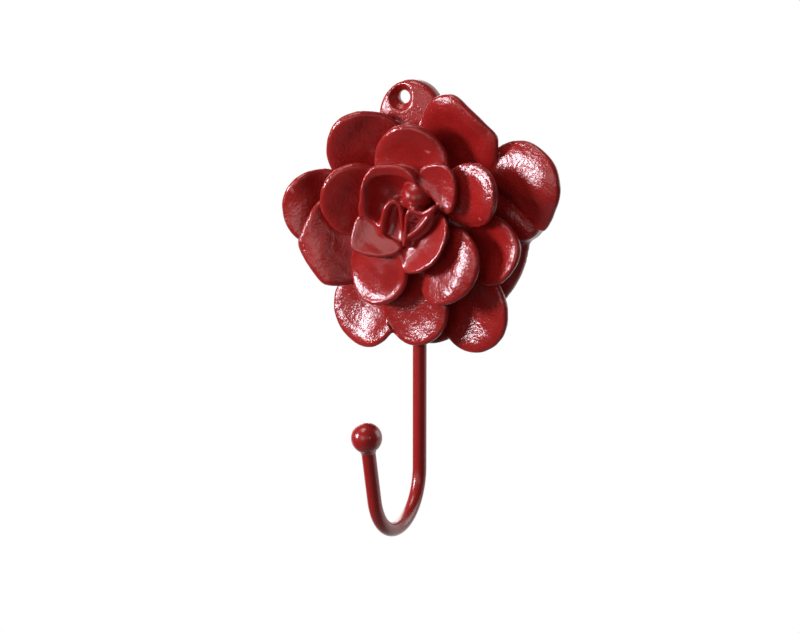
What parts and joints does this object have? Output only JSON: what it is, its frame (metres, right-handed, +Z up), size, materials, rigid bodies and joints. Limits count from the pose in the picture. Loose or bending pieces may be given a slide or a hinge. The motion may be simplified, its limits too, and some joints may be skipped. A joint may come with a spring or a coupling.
{
  "type": "wall hook",
  "caption": "Red enamelled cast rose with a screw tab at its top, carrying a round rod bent up into a hook with a ball on its tip, for hanging things on a wall.",
  "frame": {"origin": "the screw hole's axis where it meets the wall face", "axes": "+Z up, -Y out of the wall towards the room, +X to the right as seen from the room"},
  "size_m": [0.1091, 0.0527, 0.1602],
  "materials": {
    "red_enamel_casting": "gloss",
    "red_enamel_steel": "gloss"
  },
  "bodies": {
    "root": {"rose_casting": "red_enamel_casting", "hook_rod": "red_enamel_steel", "ball_end": "red_enamel_steel"}
  },
  "joints": []
}
